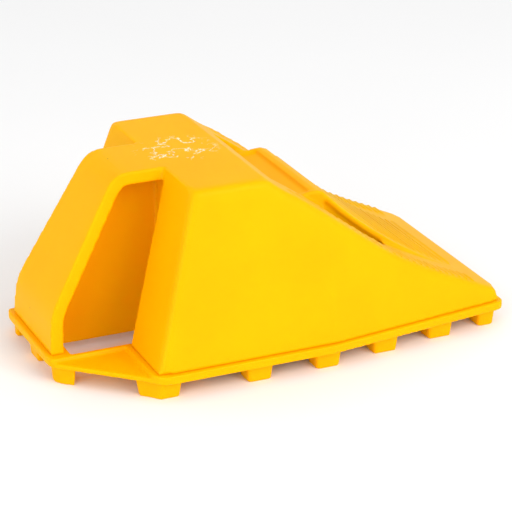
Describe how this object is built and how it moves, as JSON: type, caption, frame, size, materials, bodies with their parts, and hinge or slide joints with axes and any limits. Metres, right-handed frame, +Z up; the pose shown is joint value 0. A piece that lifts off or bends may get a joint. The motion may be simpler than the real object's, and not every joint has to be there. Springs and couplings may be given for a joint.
{
  "type": "wheel chock",
  "caption": "Hollow moulded wheel chock: a drafted wedge with a curved ribbed ramp, a strap handle over the rear and ground lugs under a base frame.",
  "frame": {"origin": "on the ground, under the middle of the base frame", "axes": "+X from the handle to the toe, +Y to the left side, +Z up"},
  "size_m": [0.47, 0.296, 0.194],
  "materials": {
    "yellow_plastic": "satin moulded yellow plastic, lightly scuffed"
  },
  "bodies": {
    "root": {"centre_web": "yellow_plastic", "corner_plate_left": "yellow_plastic", "corner_plate_right": "yellow_plastic", "crest_shelf": "yellow_plastic", "cross_rib_1": "yellow_plastic", "cross_rib_2": "yellow_plastic", "deck_nose": "yellow_plastic", "frame_rear": "yellow_plastic", "frame_side_left": "yellow_plastic", "frame_side_right": "yellow_plastic", "frame_toe": "yellow_plastic", "keel_rib_1": "yellow_plastic", "keel_rib_2": "yellow_plastic", "keel_rib_3": "yellow_plastic", "lug_corner_left": "yellow_plastic", "lug_corner_right": "yellow_plastic", "lug_left_1": "yellow_plastic", "lug_left_2": "yellow_plastic", "lug_left_3": "yellow_plastic", "lug_left_4": "yellow_plastic", "lug_left_5": "yellow_plastic", "lug_rear_1": "yellow_plastic", "lug_rear_2": "yellow_plastic", "lug_rear_3": "yellow_plastic", "lug_right_1": "yellow_plastic", "lug_right_2": "yellow_plastic", "lug_right_3": "yellow_plastic", "lug_right_4": "yellow_plastic", "lug_right_5": "yellow_plastic", "ramp_cheek_left": "yellow_plastic", "ramp_cheek_right": "yellow_plastic", "rear_bulkhead": "yellow_plastic", "rear_wall_left": "yellow_plastic", "rear_wall_right": "yellow_plastic", "side_wall_left": "yellow_plastic", "side_wall_right": "yellow_plastic", "slot_bridge_front_left": "yellow_plastic", "slot_bridge_front_right": "yellow_plastic", "slot_bridge_rear_left": "yellow_plastic", "slot_bridge_rear_right": "yellow_plastic", "strap_handle": "yellow_plastic", "toe_nose": "yellow_plastic", "top_deck": "yellow_plastic", "tread_pad": "yellow_plastic"}
  },
  "joints": []
}
